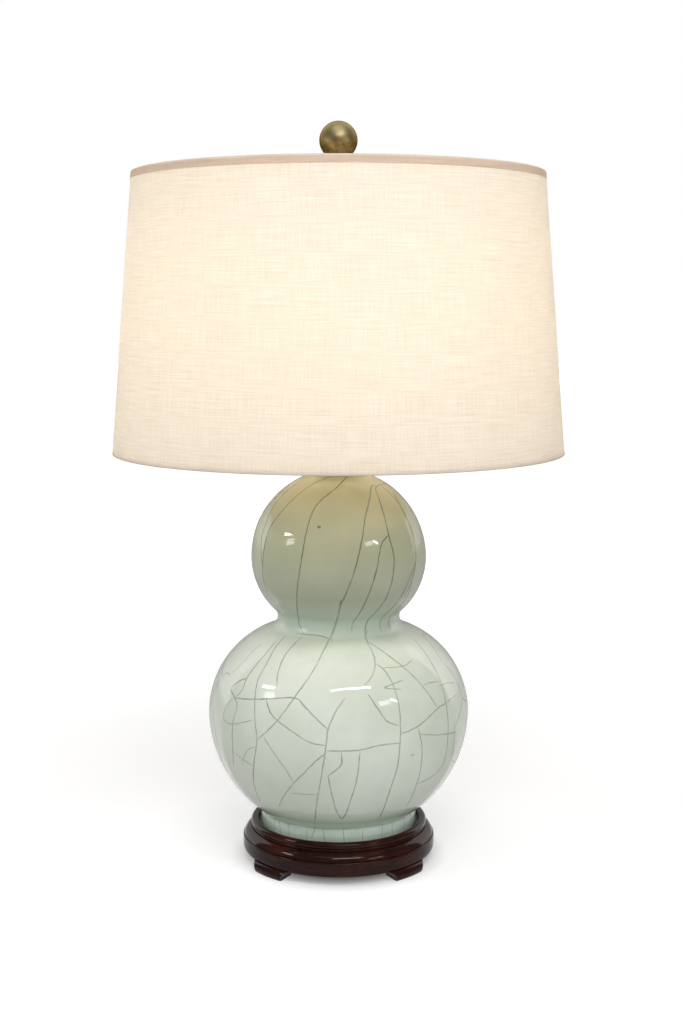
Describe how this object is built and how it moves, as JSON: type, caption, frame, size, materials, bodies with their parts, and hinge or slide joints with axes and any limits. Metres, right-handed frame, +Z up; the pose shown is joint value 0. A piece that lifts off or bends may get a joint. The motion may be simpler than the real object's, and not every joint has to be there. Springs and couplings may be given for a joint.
{
  "type": "table lamp",
  "caption": "Table lamp with a crackle-glazed double gourd body on a round footed wooden stand, a tapered drum shade on a harp, and a ball finial.",
  "frame": {"origin": "on the lamp's axis at the level of the floor that the feet stand on", "axes": "+Z up along the lamp's axis, -Y towards the front where the switch knob points, harp in the XZ plane"},
  "size_m": [0.4583, 0.4584, 0.754],
  "materials": {
    "lacquered_wood": "gloss",
    "celadon_glaze": "gloss",
    "antique_brass": "aged",
    "bright_brass": "satin",
    "zinc_steel": "satin",
    "dark_plastic": "satin",
    "felt": "matte",
    "liner_card": "matte",
    "base_metal": "satin",
    "black_glass": "gloss",
    "solder": "satin",
    "frosted_glass": "frosted",
    "clear_glass": "gloss",
    "tungsten": "satin",
    "white_wire": "satin",
    "shade_styrene": "matte",
    "linen": "matte",
    "linen_trim": "matte"
  },
  "bodies": {
    "root": {"stand_apron": "lacquered_wood", "stand_board": "lacquered_wood", "stand_rim": "lacquered_wood", "cord_bushing": "dark_plastic", "foot_gasket": "felt", "gourd_body": "celadon_glaze", "lamp_pipe": "zinc_steel", "bottom_washer": "zinc_steel", "bottom_nut": "zinc_steel", "vase_cap": "antique_brass", "neck_spacer": "antique_brass", "harp_saddle": "bright_brass", "socket_cap": "bright_brass", "socket_set_screw": "bright_brass", "socket_shell": "bright_brass", "socket_liner": "liner_card", "socket_block": "dark_plastic", "terminal_screws": "bright_brass", "screw_shell": "bright_brass", "center_contact": "bright_brass"},
    "switch": {"switch_shaft": "bright_brass", "switch_knob": "dark_plastic"},
    "bulb_screw": {"bulb_base": "base_metal", "bulb_insulator": "black_glass", "bulb_tip": "solder"},
    "bulb": {"bulb_glass": "frosted_glass", "bulb_stem": "clear_glass", "bulb_filament": "tungsten"},
    "harp": {"harp_wire": "bright_brass"},
    "ferrule_left": {"harp_ferrule_left": "bright_brass"},
    "ferrule_right": {"harp_ferrule_right": "bright_brass"},
    "swivel": {"harp_stud": "bright_brass"},
    "shade": {"spider_washer": "bright_brass", "spider_arms": "bright_brass", "shade_top_ring": "white_wire", "shade_bottom_ring": "white_wire", "shade_liner": "shade_styrene", "shade_fabric": "linen", "top_trim": "linen_trim", "bottom_trim": "linen_trim"},
    "finial_screw": {"finial_stem": "antique_brass"},
    "finial": {"finial_ball": "antique_brass"}
  },
  "joints": [
    {"name": "switch_turn", "type": "hinge", "parent": "root", "child": "switch", "pos_m": [0, -0.02, 0.466], "axis": [0, -1, 0], "continuous": true},
    {"name": "bulb_rise", "type": "slide", "parent": "root", "child": "bulb_screw", "axis": [0, 0, 1], "range_m": [0, 0.02541]},
    {"name": "bulb_turn", "type": "hinge", "parent": "bulb_screw", "child": "bulb", "pos_m": [0, 0, 0.5], "axis": [0, 0, 1], "range_deg": [0, 2520]},
    {"name": "harp_lift", "type": "slide", "parent": "root", "child": "harp", "axis": [0, 0, 1], "range_m": [0, 0.04]},
    {"name": "ferrule_left_slide", "type": "slide", "parent": "harp", "child": "ferrule_left", "axis": [0, 0, 1], "range_m": [0, 0.012]},
    {"name": "ferrule_right_slide", "type": "slide", "parent": "harp", "child": "ferrule_right", "axis": [0, 0, 1], "range_m": [0, 0.012]},
    {"name": "shade_turn", "type": "hinge", "parent": "harp", "child": "swivel", "pos_m": [0, 0, 0.6965], "axis": [0, 0, 1], "continuous": true},
    {"name": "shade_lift", "type": "slide", "parent": "swivel", "child": "shade", "axis": [0, 0, 1], "range_m": [0, 0.29]},
    {"name": "finial_rise", "type": "slide", "parent": "shade", "child": "finial_screw", "axis": [0, 0, 1], "range_m": [0, 0.00942]},
    {"name": "finial_turn", "type": "hinge", "parent": "finial_screw", "child": "finial", "pos_m": [0, 0, 0.735], "axis": [0, 0, 1], "range_deg": [0, 3600]}
  ],
  "couplings": [
    {"joint": "bulb_rise", "follows": "bulb_turn", "m_per_rad": 0.00057751},
    {"joint": "finial_rise", "follows": "finial_turn", "m_per_rad": 0.00014972}
  ]
}
